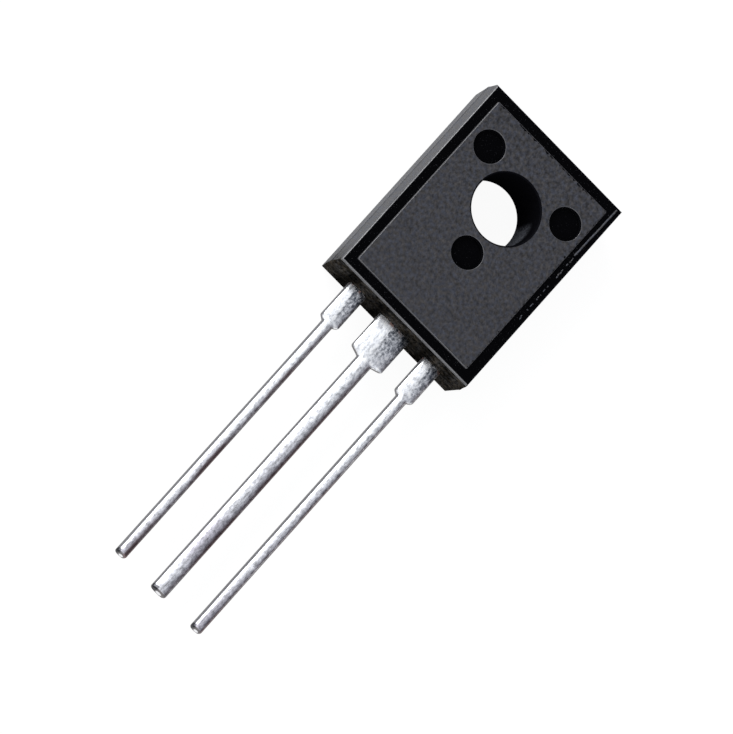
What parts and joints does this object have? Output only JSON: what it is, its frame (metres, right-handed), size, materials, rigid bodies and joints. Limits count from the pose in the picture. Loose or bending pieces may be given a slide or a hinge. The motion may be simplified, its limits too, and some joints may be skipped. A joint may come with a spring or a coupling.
{
  "type": "thyristor",
  "caption": "Thyristor in a flat moulded package with a screw hole, a raised matt front panel with pin marks, and in-line solder leads.",
  "frame": {"origin": "centre of the screw hole at the mounting face", "axes": "+Z out of the front panel along the hole, -Y along the leads, +X towards the gate lead"},
  "size_m": [0.0078, 0.0262, 0.0027],
  "materials": {
    "moulding": "fine matt panel, polished border and pin marks",
    "tinned_copper": "hot-dipped tin, softly crowned and slightly uneven",
    "silicon": "polished",
    "solder": "dull grey",
    "bond_wire": "drawn"
  },
  "bodies": {
    "root": {"body": "moulding", "spreader_with_anode_lead": "tinned_copper", "cathode_lead": "tinned_copper", "gate_lead": "tinned_copper", "chip": "silicon", "chip_solder": "solder", "cathode_wire": "bond_wire", "gate_wire": "bond_wire"}
  },
  "joints": []
}
